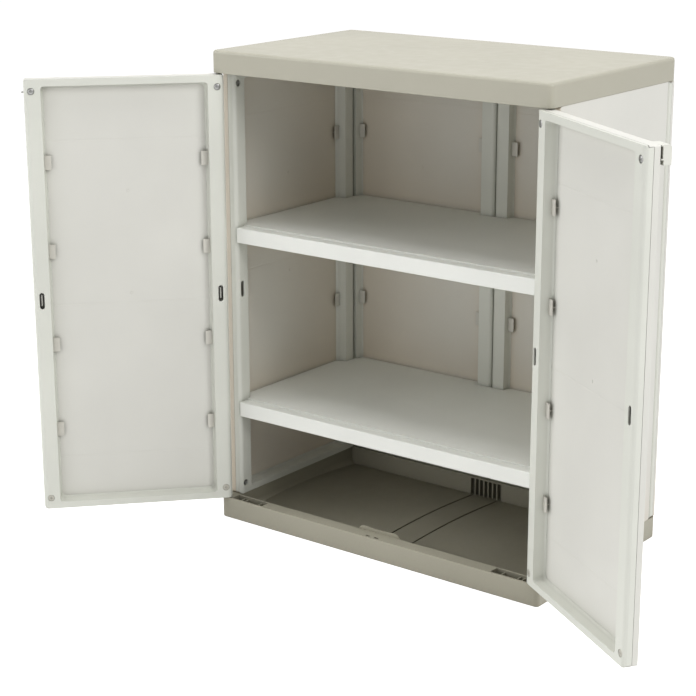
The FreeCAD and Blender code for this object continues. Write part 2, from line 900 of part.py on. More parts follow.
def lid_grid():
    # Stiffening ribs under the lid's top
    z0 = cabinet_height - lid_skin - lid_grid_height
    z1 = cabinet_height - lid_skin + overshoot
    x = half_width - side_rim
    y0 = -half_depth + front_rim
    y1 = half_depth - rear_rim
    ribs = []
    for index in range(lid_grid_columns):
        place = -x + 2 * x * (index + 1) / (lid_grid_columns + 1)
        ribs.append(box(place - lid_grid_rib / 2, place + lid_grid_rib / 2,
                        y0 - overshoot, y1 + overshoot, z0, z1))
    for index in range(lid_grid_rows):
        place = y0 + (y1 - y0) * (index + 1) / (lid_grid_rows + 1)
        ribs.append(box(-x - overshoot, x + overshoot,
                        place - lid_grid_rib / 2, place + lid_grid_rib / 2, z0, z1))
    return ribs


def lid_rim_cells():
    # Cells between the skirt and the inner wall, open downwards, with cross ribs as seats
    z0 = lid_bottom - overshoot
    z1 = cabinet_height - lid_skin
    inner = half_width - side_rim + base_wall
    outer = half_width - base_wall
    y0 = -half_depth + front_rim
    y1 = half_depth - rear_rim
    cells = []
    for x0, x1 in ((-outer, -inner), (inner, outer)):
        cells += hollow_row(y0 + spigot_seat, y1 - spigot_seat, under_pitch, under_rib,
                            lambda low, high, a=x0, b=x1: box(a, b, low, high, z0, z1))
    free = inner - spigot_width
    front0 = -half_depth + base_wall
    front1 = y0 - base_wall
    cells += hollow_row(-free, free, under_pitch, under_rib,
                        lambda low, high: box(low, high, front0, front1, z0, z1))
    rear0 = y1 + base_wall
    rear1 = half_depth - base_wall
    middle = stile_width
    for x0, x1 in ((-free, -middle), (middle, free)):
        cells += hollow_row(x0, x1, under_pitch, under_rib,
                            lambda low, high: box(low, high, rear0, rear1, z0, z1))
    return cells


def make_lid():
    levels = [(lid_bottom, lid_edge_chamfer), (lid_bottom + lid_edge_chamfer, 0)]
    for step in range(lid_round_steps + 1):
        angle = math.pi / 2 * step / lid_round_steps
        levels.append((cabinet_height - lid_round * (1 - math.sin(angle)), lid_round * (1 - math.cos(angle))))
    lid = rounded_body(levels)
    inner = box(-half_width + side_rim, half_width - side_rim, -half_depth + front_rim, half_depth - rear_rim,
                lid_bottom - overshoot, cabinet_height - lid_skin)
    lid = lid.cut([inner] + lid_rim_cells() + at_stile_ends(connector_socket, lid_bottom, -1))
    lid = lid.fuse(lid_grid()).removeSplitter()
    return lid.cut(pin_bores(lid_bottom, 1, pin_in_bore + pin_end_space))


def shelf_outline(front):
    # Half of the deck's plan, from the front round the stiles into the recesses to the middle
    gap = shelf_clearance
    well = recess_clearance
    face = side_inner_face - gap
    panel = half_width - edge_inset - skin - well
    front_edge = side_front + stile_width
    rear_edge = side_rear - stile_width
    back_panel = half_depth - edge_inset - skin - well
    stile_x = half_width - edge_inset - stile_width
    middle_x = back_seam / 2 + stile_width
    return [
        (face, front), (face, front_edge), (panel, front_edge + recess_taper + well),
        (panel, rear_edge - recess_taper - well), (face, rear_edge), (face, back_front - gap),
        (stile_x - gap, back_front - gap), (stile_x - recess_taper - well, back_panel),
        (middle_x + recess_taper + well, back_panel), (middle_x + gap, back_front - gap),
    ]


def shelf_plate(front, z0, z1):
    right = shelf_outline(front)
    left = [(-x, y) for x, y in reversed(right)]
    points = [Vector(x, y, z0) for x, y in right + left]
    return polygon_prism(points, Vector(0, 0, z1 - z0))


def make_shelf(top):
    front = side_front
    face = side_inner_face - shelf_clearance
    deck_front = front + shelf_band
    deck = shelf_plate(deck_front, top + deck_rise - shelf_skin, top + deck_rise)
    band = box(-face, face, front, deck_front + shelf_skin, top - shelf_skin, top)
    lip = box(-face, face, front, front + shelf_skin, top - shelf_lip, top)
    lip_edges_source = fused([band, lip])
    long_edges = [edge for edge in lip_edges_source.Edges
                  if edge.BoundBox.XLength > face and edge.BoundBox.YMax < front + tolerance]
    nose = lip_edges_source.makeFillet(shelf_lip_round, long_edges)
    pieces = [deck, nose]
    skirt_low = top - shelf_skirt
    rear = back_front - shelf_clearance
    for side in (-1, 1):
        x0, x1 = sorted((side * face, side * (face - shelf_skin)))
        pieces.append(box(x0, x1, front, rear, skirt_low, top))
    pieces.append(box(-face, face, rear - shelf_skin, rear, skirt_low, top))
    rib_low = top - shelf_rib_height
    for index in range(shelf_rib_columns):
        x = -face + 2 * face * (index + 1) / (shelf_rib_columns + 1)
        pieces.append(box(x - shelf_rib / 2, x + shelf_rib / 2,
                          front + overshoot, rear - overshoot, rib_low, top - overshoot))
    for index in range(shelf_rib_rows):
        y = front + (rear - front) * (index + 1) / (shelf_rib_rows + 1)
        pieces.append(box(-face + overshoot, face - overshoot,
                          y - shelf_rib / 2, y + shelf_rib / 2, rib_low, top - overshoot))
    return fused(pieces)


def peg_rows():
    # Depths of the front and rear pegs, at the middle of the side stiles
    return side_front + stile_width / 2, side_rear - stile_width / 2


def peg_level(top):
    return top - shelf_skirt


def shelf_pegs(top):
    solids = []
    high = peg_level(top)
    for y in peg_rows():
        x = -side_inner_face
        block = box(x, x + peg_reach, y - peg_width / 2, y + peg_width / 2, high - peg_height, high)
        start = Vector(x + overshoot, y, high - peg_height / 2)
        shank = flat_sided_rod(
            peg_shank_radius, start, Vector(-1, 0, 0), peg_shank_length + overshoot, hidden_sides,
        )
        peg = block.fuse(shank).removeSplitter()
        solids.append(peg)
        solids.append(mirrored(peg))
    return solids


def side_frame_with_peg_holes():
    left_side, left_back = unit_places()
    frame = moved(fixed_frame(side_width, fixed_height, side_thickness), left_side, base_height)
    radius = peg_shank_radius + peg_fit
    length = wall + 2 * overshoot
    for top in (upper_shelf_top, lower_shelf_top):
        for y in peg_rows():
            start = Vector(-side_inner_face + overshoot, y, peg_level(top) - peg_height / 2)
            frame = frame.cut(flat_sided_rod(radius, start, Vector(-1, 0, 0), length, hidden_sides))
    return frame


def group(solids):
    return solids[0] if len(solids) == 1 else Part.makeCompound(solids)


def swing(shape, side, angle):
    # A door piece, drawn for the left door when shut, put on its side and opened about its pivot
    x0 = -half_width + edge_inset
    y0 = -half_depth + edge_inset
    copy = shape.copy()
    copy.translate(Vector(x0, y0, door_bottom))
    copy.rotate(Vector(-pin_x, pin_y, 0), Vector(0, 0, 1), -angle)
    if side > 0:
        copy = mirrored(copy)
    return copy


def save(name, shape):
    shape.exportStep(os.path.join("parts", name + ".step"))
    solids = shape.Solids
    volume = sum(solid.Volume for solid in solids) / 1000
    print(name, len(solids), "solids", round(volume, 1), "cm3", "valid", shape.isValid())


def save_doors():
    sizes = (door_width, door_height, door_thickness)
    doors = (("left", -1, left_open_angle), ("right", 1, right_open_angle))
    frame = door_frame(*sizes)
    clips = panel_clips(*sizes)
    screws = door_screws(*sizes)
    plugs = door_plugs(door_width, door_thickness)
    pins = door_pins(door_height)
    pans = {"left": door_pan_with_catch_holes(*sizes), "right": door_pan(*sizes)}
    for name, side, angle in doors:
        save(name + "_door_panel", swing(pans[name], side, angle))
        save(name + "_door_frame", swing(frame, side, angle))
        for label, solids in (("clips", clips), ("screws", screws), ("plugs", plugs), ("pins", pins)):
            save(name + "_door_" + label, group([swing(solid, side, angle) for solid in solids]))
    save("catch_plate", swing(catch_plate(door_width, door_height), -1, left_open_angle))
    fixings = [swing(solid, -1, left_open_angle) for solid in catch_screws(door_width, door_height)]
    save("catch_plate_screws", group(fixings))
    save("latch_block", swing(latch_block(door_width, door_height), 1, right_open_angle))


def save_fixed_units():
    left_side, left_back = unit_places()
    side_sizes = (side_width, fixed_height, side_thickness)
    back_sizes = (back_width, fixed_height, back_thickness)
    pieces = {
        "side_panel": [moved(fixed_pan(*side_sizes), left_side, base_height)],
        "side_frame": [side_frame_with_peg_holes()],
        "side_clips": [moved(clip, left_side, base_height) for clip in panel_clips(*side_sizes)],
        "side_screws": [moved(item, left_side, base_height) for item in fixed_screws(*side_sizes)],
        "back_panel": [moved(fixed_pan(*back_sizes), left_back, base_height)],
        "back_frame": [moved(fixed_frame(*back_sizes), left_back, base_height)],
        "back_clips": [moved(clip, left_back, base_height) for clip in panel_clips(*back_sizes)],
        "back_screws": [moved(item, left_back, base_height) for item in fixed_screws(*back_sizes)],
    }
    for label, solids in pieces.items():
        save("left_" + label, group(solids))
        save("right_" + label, group([mirrored(solid) for solid in solids]))


def main():
    save("base", make_base())
    save("lid", make_lid())
    save("base_connectors", group(at_stile_ends(connector, base_height, 1)))
    save("lid_connectors", group(at_stile_ends(connector, lid_bottom, -1)))
    save("upper_shelf", make_shelf(upper_shelf_top))
    save("lower_shelf", make_shelf(lower_shelf_top))
    save("upper_shelf_pegs", group(shelf_pegs(upper_shelf_top)))
    save("lower_shelf_pegs", group(shelf_pegs(lower_shelf_top)))
    save_fixed_units()
    save_doors()


main()
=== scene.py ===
import logging
import math
from dataclasses import dataclass
from enum import Enum

import bmesh
import bpy
from mathutils import Matrix, Vector


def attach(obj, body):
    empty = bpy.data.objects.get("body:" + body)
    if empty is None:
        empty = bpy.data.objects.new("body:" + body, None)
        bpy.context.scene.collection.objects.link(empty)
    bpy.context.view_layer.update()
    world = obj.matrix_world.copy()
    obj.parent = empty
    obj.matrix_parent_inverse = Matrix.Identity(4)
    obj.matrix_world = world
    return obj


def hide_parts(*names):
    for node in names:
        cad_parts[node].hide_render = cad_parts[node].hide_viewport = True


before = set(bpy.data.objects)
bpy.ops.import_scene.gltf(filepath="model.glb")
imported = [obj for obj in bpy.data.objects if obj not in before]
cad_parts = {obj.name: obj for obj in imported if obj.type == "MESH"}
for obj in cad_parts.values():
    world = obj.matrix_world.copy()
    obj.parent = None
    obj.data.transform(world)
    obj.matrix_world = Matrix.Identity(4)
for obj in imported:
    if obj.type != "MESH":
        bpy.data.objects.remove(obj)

LOG = logging.getLogger("garden_cabinet")
Rgb = tuple[int, int, int]
Paint = tuple[float, float, float, float]
Shares = tuple[float, float, float]
Span = tuple[float, float]
Place = tuple[float, float, float]
Node = bpy.types.Node
Socket = bpy.types.NodeSocket
Feed = Socket | Paint | Shares | float | bool

# The screen's colour curve: a short straight start, then a power
FULL_CHANNEL = 255.0
STRAIGHT_END = 0.04045
STRAIGHT_SLOPE = 12.92
CURVE_OFFSET = 0.055
CURVE_POWER = 2.4

# Numbers of the colour mixer's sockets, whose names are shared by several
MIX_SHARE, MIX_FIRST, MIX_SECOND = 0, 6, 7
MIX_RESULT = 2

# Rays a point sends out to feel for edges, and for the near surfaces that set its painted shade
ROUNDING_RAYS = 4
NEARNESS_RAYS = 4

# Openness of a point that counts as closed all round, and as free, for the painted shade
CLOSED_TO_FREE: Span = (0.15, 0.85)


class Side(Enum):
    """The two halves of the cabinet, as seen from the front."""

    LEFT = -1
    RIGHT = 1

    @property
    def word(self) -> str:
        """Name of the side as the frame's nodes spell it."""
        return self.name.lower()


class Body(Enum):
    """The bodies of the frame that pieces ride on."""

    CABINET = "cabinet"
    LEFT_DOOR = "left_door"
    RIGHT_DOOR = "right_door"


def linear(colour: Rgb) -> Paint:
    """Turn a screen colour into the renderer's linear one.

    Args:
        colour: Red, green and blue from 0 to 255.

    Returns:
        Linear red, green and blue, with full alpha.
    """
    channels = []
    for value in colour:
        share = value / FULL_CHANNEL
        if share <= STRAIGHT_END:
            channels.append(share / STRAIGHT_SLOPE)
        else:
            channels.append(((share + CURVE_OFFSET) / (1.0 + CURVE_OFFSET)) ** CURVE_POWER)
    return (channels[0], channels[1], channels[2], 1.0)


def shaded(colour: Rgb, share: float) -> Paint:
    """Return the linear colour made lighter or darker by a share of itself."""
    red, green, blue, alpha = linear(colour)
    return (red * (1.0 + share), green * (1.0 + share), blue * (1.0 + share), alpha)


@dataclass(frozen=True)
class Pattern:
    """A noise: its repeats per metre, its octaves, the part of its height that shows and any stretch."""

    scale: float
    detail: float
    shown: Span = (0.3, 0.7)
    stretch: Shares | None = None


class NodeNet:
    """Short way to lay out a network of nodes."""

    def __init__(self, tree: bpy.types.NodeTree) -> None:
        """Take an empty network."""
        self.tree = tree

    def add(self, kind: str, feeds: dict[str | int, Feed] | None = None, **settings: object) -> Node:
        """Add one node.

        Args:
            kind: Blender's name for the node type.
            feeds: What goes into its inputs, by their names or numbers: an output to link, or a value.
            settings: Attributes to set on it.

        Returns:
            The new node.
        """
        node = self.tree.nodes.new(kind)
        for key, value in settings.items():
            setattr(node, key, value)
        for key, value in (feeds or {}).items():
            if isinstance(value, Socket):
                self.tree.links.new(value, node.inputs[key])
            else:
                node.inputs[key].default_value = value
        return node


class ShaderNet(NodeNet):
    """The shader nodes of one material or world."""

    def __init__(self, owner: bpy.types.Material | bpy.types.World) -> None:
        """Clear the owner's nodes.

        Args:
            owner: The new material or world.
        """
        owner.use_nodes = True
        super().__init__(owner.node_tree)
        self.owner = owner
        self.tree.nodes.clear()

    def noise(self, pattern: Pattern) -> Socket:
        """Lay a noise on the piece, in the piece's own coordinates.

        Args:
            pattern: The noise.

        Returns:
            Its height, from 0 to 1.
        """
        place = self.add("ShaderNodeTexCoord").outputs["Object"]
        if pattern.stretch is not None:
            stretched = self.add("ShaderNodeMapping", {"Scale": pattern.stretch, "Vector": place})
            place = stretched.outputs["Vector"]
        feeds = {"Scale": pattern.scale, "Detail": pattern.detail, "Vector": place}
        return self.add("ShaderNodeTexNoise", feeds).outputs["Fac"]

    def ranged(self, value: Socket, source: Span, target: Span) -> Socket:
        """Map a value from one range to another, held at its ends.

        Args:
            value: What is mapped.
            source: The value's lowest and highest.
            target: What these two become.

        Returns:
            The mapped value.
        """
        feeds = {"Value": value, "From Min": source[0], "From Max": source[1]}
        feeds |= {"To Min": target[0], "To Max": target[1]}
        return self.add("ShaderNodeMapRange", feeds, clamp=True).outputs["Result"]

    def drawn(self, pattern: Pattern, target: Span = (0.0, 1.0)) -> Socket:
        """Return a noise with the part of its height that shows mapped to a range."""
        return self.ranged(self.noise(pattern), pattern.shown, target)

    def mixed(self, share: Socket, first: Feed, second: Feed, mode: str = "MIX") -> Socket:
        """Lay one colour over another by a share.

        Args:
            share: How much of the second colour shows.
            first: The colour below.
            second: The colour on top.
            mode: Blender's name for the way they mix.

        Returns:
            The mixed colour.
        """
        feeds = {MIX_SHARE: share, MIX_FIRST: first, MIX_SECOND: second}
        mixer = self.add("ShaderNodeMix", feeds, data_type="RGBA", blend_type=mode)
        return mixer.outputs[MIX_RESULT]

    def painted_near_shade(self, base: Socket, reach: float, kept: Shares) -> Socket:
        """Paint shade into a colour where other surfaces stand near it, by ambient occlusion.

        Args:
            base: The colour.
            reach: How near the next surface has to be, in metres.
            kept: Shares of red, green and blue that are kept where a place is closed all round, the darkest
                painted shade.

        Returns:
            The colour with its painted shade.
        """
        # Painted shade: the colour is darkened by how closed in each point is, not by any lamp
        near = self.add("ShaderNodeAmbientOcclusion", {"Distance": reach}, samples=NEARNESS_RAYS)
        closed = self.ranged(near.outputs["AO"], CLOSED_TO_FREE, (1.0, 0.0))
        return self.mixed(closed, base, (*kept, 1.0), "MULTIPLY")

    def rounded(self, radius: float) -> Socket:
        """Return a surface normal that rounds sharp edges by a radius in metres."""
        return self.add("ShaderNodeBevel", {"Radius": radius}, samples=ROUNDING_RAYS).outputs["Normal"]

    def bumped(self, height: Socket, strength: float, depth: float, normal: Socket) -> Socket:
        """Raise a surface by a noise.

        Args:
            height: The noise.
            strength: Share of the effect from 0 to 1.
            depth: Height of the noise in metres.
            normal: The rounding or the earlier bump that it adds to.

        Returns:
            The new surface normal.
        """
        feeds = {"Height": height, "Strength": strength, "Distance": depth, "Normal": normal}
        return self.add("ShaderNodeBump", feeds).outputs["Normal"]

    def seen_share(self) -> Socket:
        """Tell the rays that show a surface to the eye, in gloss or through glass, from all others.

        Returns:
            1 for these rays and 0 for others.
        """
        path = self.add("ShaderNodeLightPath").outputs
        share = path["Is Camera Ray"]
        for kind in ("Is Glossy Ray", "Is Transmission Ray"):
            share = self.add("ShaderNodeMath", {0: share, 1: path[kind]}, operation="MAXIMUM").outputs[0]
        return share

    def paint(self, shade: Socket, roughness: Socket, normal: Socket, level: dict) -> bpy.types.Material:
        """Finish a material with its one shader.

        Args:
            shade: Its colour.
            roughness: Its roughness.
            normal: Its surface normal.
            level: The one other input that this kind of material sets.

        Returns:
            The material.
        """
        feeds = {"Base Color": shade, "Roughness": roughness, "Normal": normal, **level}
        shader = self.add("ShaderNodeBsdfPrincipled", feeds)
        self.add("ShaderNodeOutputMaterial", {"Surface": shader.outputs["BSDF"]})
        return self.owner


@dataclass(frozen=True)
class MouldedResin:
    """Semi-matt moulded resin: a slow drift of shade, faint flow marks and a fine spark-eroded grain.

    Grooves get painted shade from ambient occlusion. Where room_shade_kept is given, so do the places that
    larger walls stand round.
    """

    name: str
    colour: Rgb
    drift: float = 0.035
    cloud: Pattern = Pattern(5.0, 3.0)
    flow: Pattern = Pattern(9.0, 2.0, (0.45, 0.8), (1.0, 1.0, 0.14))
    flow_tint: float = 0.12
    speck: Pattern = Pattern(620.0, 2.0, (0.35, 0.65))
    speck_tint: float = -0.25
    most_tint: float = 0.05
    gloss: float = 0.42
    roughness: Span = (0.41, 0.52)
    dullness: Pattern = Pattern(40.0, 4.0)
    waviness: Pattern = Pattern(22.0, 1.0)
    wave_strength: float = 0.25
    wave_depth: float = 0.0006
    grain: Pattern = Pattern(1.0 / 0.0011, 3.0)
    grain_strength: float = 0.35
    grain_depth: float = 0.00006
    edge_round: float = 0.0007
    # Reach and kept shares of the painted shade in grooves and in enclosed rooms
    groove_shade_reach: float = 0.012
    groove_shade_kept: Shares = (0.5, 0.5, 0.47)
    room_shade_reach: float = 0.25
    room_shade_kept: Shares | None = None

    def material(self) -> bpy.types.Material:
        """Build the finish as a node material.

        Returns:
            The material.
        """
        net = ShaderNet(bpy.data.materials.new(self.name))
        normal = net.bumped(
            net.noise(self.waviness), self.wave_strength, self.wave_depth, net.rounded(self.edge_round)
        )
        normal = net.bumped(net.noise(self.grain), self.grain_strength, self.grain_depth, normal)
        roughness = net.drawn(self.dullness, self.roughness)
        return net.paint(self._shade(net), roughness, normal, {"Specular IOR Level": self.gloss})

    def _shade(self, net: ShaderNet) -> Socket:
        """Lay out the colour, with painted shade in grooves and, where asked, in enclosed rooms.

        Args:
            net: The material's nodes.

        Returns:
            The colour.
        """
        marks = (0.0, self.most_tint)
        pale, deep = shaded(self.colour, self.drift), shaded(self.colour, -self.drift)
        shade = net.mixed(net.drawn(self.cloud), deep, pale)
        shade = net.mixed(net.drawn(self.flow, marks), shade, shaded(self.colour, self.flow_tint))
        shade = net.mixed(net.drawn(self.speck, marks), shade, shaded(self.colour, self.speck_tint))
        # Painted shade in grooves and, where asked, in enclosed rooms
        shade = net.painted_near_shade(shade, self.groove_shade_reach, self.groove_shade_kept)
        if self.room_shade_kept is not None:
            shade = net.painted_near_shade(shade, self.room_shade_reach, self.room_shade_kept)
        return shade


@dataclass(frozen=True)
class PlatedSteel:
    """Zinc-plated steel with a faint rolled streak and small dull spots."""

    name: str
    colour: Rgb
    roughness: Span = (0.28, 0.48)
    streak: Pattern = Pattern(300.0, 3.0, stretch=(1.0, 1.0, 0.06))
    streak_tints: Span = (-0.12, 0.1)
    streak_strength: float = 0.2
    streak_depth: float = 0.00004
    spots: Pattern = Pattern(900.0, 2.0, (0.55, 0.75))
    spot_tint: float = -0.35
    spot_share: float = 0.3
    dullness: Pattern = Pattern(900.0, 2.0)
    edge_round: float = 0.0003

    def material(self) -> bpy.types.Material:
        """Build the finish as a node material.

        Returns:
            The material.
        """
        net = ShaderNet(bpy.data.materials.new(self.name))
        deep, pale = (shaded(self.colour, tint) for tint in self.streak_tints)
        shade = net.mixed(net.drawn(self.streak), deep, pale)
        spots = net.drawn(self.spots, (0.0, self.spot_share))
        shade = net.mixed(spots, shade, shaded(self.colour, self.spot_tint))
        normal = net.bumped(
            net.noise(self.streak), self.streak_strength, self.streak_depth, net.rounded(self.edge_round)
        )
        roughness = net.drawn(self.dullness, self.roughness)
        return net.paint(shade, roughness, normal, {"Metallic": 1.0})


class Finish(Enum):
    """The finishes of the cabinet's pieces."""

    TRIM = MouldedResin("taupe_trim_resin", (176, 173, 158))
    # The tray's enclosed-room painted shade darkens its whole inside; its grooves get a lighter painted shade
    # than the default
    TRAY = MouldedResin(
        "taupe_tray_resin", (186, 182, 165), groove_shade_kept=(0.8, 0.8, 0.78), room_shade_kept=(0.46, 0.45, 0.42)
    )
    PANEL = MouldedResin("pale_panel_resin", (216, 215, 208))
    # Side and back panels get a warm painted shade inside the cabinet's enclosed rooms
    WALL = MouldedResin("pale_wall_resin", (217, 216, 209), room_shade_kept=(0.96, 0.83, 0.70))
    FRAME = MouldedResin("pale_frame_resin", (217, 218, 209))
    # Shelves get a lighter painted shade in their grooves than the default
    SHELF = MouldedResin("shelf_resin", (239, 240, 234), groove_shade_kept=(0.65, 0.65, 0.63))
    CLIP = MouldedResin("clip_resin", (208, 205, 196), grain_depth=0.00002)
    PEG = MouldedResin("peg_resin", (206, 204, 194), grain_depth=0.00002)
    PLUG = MouldedResin("plug_resin", (196, 193, 182), grain_depth=0.00002)
    PIN = MouldedResin("pin_resin", (170, 168, 158), grain_depth=0.00002)
    LATCH = MouldedResin("latch_resin", (216, 216, 207), grain_depth=0.00003)
    CONNECTOR = MouldedResin("connector_resin", (180, 177, 162), grain_depth=0.00003)
    SCREW_STEEL = PlatedSteel("plated_screw_steel", (150, 150, 148))
    CATCH_STEEL = PlatedSteel("plated_catch_steel", (168, 168, 165), roughness=(0.34, 0.54))

    @property
    def slot(self) -> str:
        """The record's material slot for a new piece in this finish."""
        return NEW_PIECE_SLOTS[self]


NEW_PIECE_SLOTS: dict[Finish, str] = {
    Finish.PLUG: "plug_plastic",
    Finish.SCREW_STEEL: "screw_steel",
}


class Palette:
    """Holds each finish's material once it is made."""

    def __init__(self) -> None:
        """Build every finish."""
        self.materials = {finish: finish.value.material() for finish in Finish}

    def dress(self, piece: bpy.types.Object, finish: Finish) -> None:
        """Give a piece one finish in all of its slots.

        Args:
            piece: The piece.
            finish: Its finish.
        """
        material = self.materials[finish]
        if not piece.material_slots:
            piece.data.materials.append(material)
        for slot in piece.material_slots:
            slot.material = material


@dataclass(frozen=True)
class UnitPlace:
    """Where a panel unit stands: its start corner, the way along it and the way through it."""

    corner: Vector
    along: Vector
    inward: Vector

    def spot(self, u: float, v: float, z: float) -> Vector:
        """Return the world place of a point given along, through and up the unit."""
        return self.corner + self.along * u + self.inward * v + Vector((0.0, 0.0, z))

    def stand(self, u: float, v: float, z: float) -> Matrix:
        """Return the placing of a piece drawn on Z that is to point inwards at that point."""
        turned = Matrix((self.along, self.inward.cross(self.along), self.inward)).transposed().to_4x4()
        return Matrix.Translation(self.spot(u, v, z)) @ turned


@dataclass(frozen=True)
class CabinetSizes:
    """Sizes of the cabinet that the dressed pieces need, in metres."""

    half_width: float = 0.340
    half_depth: float = 0.195
    base_height: float = 0.039
    fixed_height: float = 0.772
    edge_inset: float = 0.0005
    door_thickness: float = 0.0245
    side_thickness: float = 0.025
    back_thickness: float = 0.0205
    door_end_gap: float = 0.002
    door_to_side_gap: float = 0.002
    side_seam: float = 0.0005
    back_seam: float = 0.0006
    meeting_gap: float = 0.003
    pivot: float = 0.0076
    left_opening: float = 132.6
    right_opening: float = 147.3

    @property
    def door_width(self) -> float:
        """Width of one door."""
        return self.half_width - self.edge_inset - self.meeting_gap / 2

    @property
    def door_height(self) -> float:
        """Height of one door."""
        return self.fixed_height - 2 * self.door_end_gap

    @property
    def back_width(self) -> float:
        """Width of one back unit."""
        return self.half_width - self.edge_inset - self.back_seam / 2

    @property
    def side_rear(self) -> float:
        """Depth at which the sides end."""
        return self.half_depth - self.edge_inset - self.back_thickness - self.side_seam

    @property
    def side_width(self) -> float:
        """Width of one side unit."""
        front = -self.half_depth + self.edge_inset + self.door_thickness + self.door_to_side_gap
        return self.side_rear - front

    def door_place(self, side: Side) -> UnitPlace:
        """Return where a door stands at rest, open about its pivot.

        Args:
            side: Which door.

        Returns:
            The door's start corner and ways, with the opening turned in.
        """
        opening = self.left_opening if side is Side.LEFT else self.right_opening
        shut_corner = Vector((-self.half_width + self.edge_inset, -self.half_depth + self.edge_inset, 0.0))
        pin = shut_corner + Vector((self.pivot, self.pivot, 0.0))
        turn = Matrix.Rotation(-math.radians(opening), 3, "Z")
        corner = pin + turn @ (shut_corner - pin)
        along = turn @ Vector((1.0, 0.0, 0.0))
        inward = turn @ Vector((0.0, 1.0, 0.0))
        corner.z = self.base_height + self.door_end_gap
        return self._sided(side, corner, along, inward)

    def side_place(self, side: Side) -> UnitPlace:
        """Return where a side unit stands."""
        corner = Vector((-self.half_width + self.edge_inset, self.side_rear, self.base_height))
        return self._sided(side, corner, Vector((0.0, -1.0, 0.0)), Vector((1.0, 0.0, 0.0)))

    def back_place(self, side: Side) -> UnitPlace:
        """Return where a back unit stands."""
        corner = Vector((-self.back_seam / 2, self.half_depth - self.edge_inset, self.base_height))
        return self._sided(side, corner, Vector((-1.0, 0.0, 0.0)), Vector((0.0, -1.0, 0.0)))

    @staticmethod
    def _sided(side: Side, corner: Vector, along: Vector, inward: Vector) -> UnitPlace:
        """Mirror a place of the left half where the right one is asked for.

        Args:
            side: Which half.
            corner: The left unit's start corner.
            along: The way along the left unit.
            inward: The way through the left unit.

        Returns:
            The place as it is for the left, or its mirror image for the right.
        """
        ways = [corner, along, inward]
        if side is Side.RIGHT:
            ways = [Vector((-way.x, way.y, way.z)) for way in ways]
        return UnitPlace(ways[0], ways[1], ways[2])


# Where a screw's outline turns, in shares of its radius and height above the seat and of its radius and
# length below it
HEAD_OUTLINE = ((0.86, 0.72), (1.0, 0.35), (1.0, 0.0))
SHANK_OUTLINE = ((1.0, 0.0), (1.0, -0.85), (0.35, -1.0))

# Share of the cross recess's width that is left at its floor
CROSS_TAPER = 0.55

# How near to a middle line of the head, in metres, a face of the cross has its middle
CENTRED = 1e-6


@dataclass(frozen=True)
class CrossHeadScrew:
    """A pan-head screw with a tapered cross recess, drawn with its head towards +Z and its seat at 0."""

    head_radius: float
    head_height: float
    shank_radius: float
    shank_length: float
    recess_arm: float
    recess_width: float
    recess_depth: float

    def build(self, bm: bmesh.types.BMesh, place: Matrix) -> None:
        """Add one screw to a mesh.

        Args:
            bm: Mesh that takes the screw.
            place: Where it goes and which way it points.
        """
        own = bmesh.new()
        loop = self._cross_recess(own)
        steps = [(self.head_radius * out, self.head_height * up) for out, up in HEAD_OUTLINE]
        steps += [(self.shank_radius * out, self.shank_length * up) for out, up in SHANK_OUTLINE]
        for radius, height in steps:
            grown = bmesh.ops.extrude_edge_only(own, edges=loop)["geom"]
            loop = [item for item in grown if isinstance(item, bmesh.types.BMEdge) and item.is_boundary]
            for vert in (item for item in grown if isinstance(item, bmesh.types.BMVert)):
                flat = Vector((vert.co.x, vert.co.y)).normalized() * radius
                vert.co = (flat.x, flat.y, height)
        bmesh.ops.edgeloop_fill(own, edges=loop)
        bmesh.ops.transform(own, matrix=place, verts=own.verts)
        carrier = bpy.data.meshes.new("screw_blank")
        own.to_mesh(carrier)
        own.free()
        bm.from_mesh(carrier)
        bpy.data.meshes.remove(carrier)

    def _cross_recess(self, own: bmesh.types.BMesh) -> list[bmesh.types.BMEdge]:
        """Make the middle of the head with its sunk cross.

        Args:
            own: The screw's own mesh, still empty.

        Returns:
            The edges round the middle, for the rest of the head to grow from.
        """
        bmesh.ops.create_grid(own, x_segments=3, y_segments=3, size=self.recess_arm)
        inner = self.recess_arm / 2
        for vert in own.verts:
            for axis in (0, 1):
                if abs(vert.co[axis]) < inner:
                    vert.co[axis] = math.copysign(self.recess_width / 2, vert.co[axis])
            vert.co.z = self.head_height
        cross = [
            face for face in own.faces
            if min(abs(value) for value in face.calc_center_median()[:2]) < CENTRED
        ]
        sunk = bmesh.ops.extrude_face_region(own, geom=cross)["geom"]
        floor = [item for item in sunk if isinstance(item, bmesh.types.BMVert)]
        bmesh.ops.delete(own, geom=cross, context="FACES")
        bmesh.ops.scale(own, vec=(CROSS_TAPER, CROSS_TAPER, 1.0), verts=floor)
        bmesh.ops.translate(own, vec=(0.0, 0.0, -self.recess_depth), verts=floor)
        rim = [edge for edge in own.edges if edge.is_boundary]
        bmesh.ops.subdivide_edges(own, edges=rim, cuts=1)
        return [edge for edge in own.edges if edge.is_boundary]


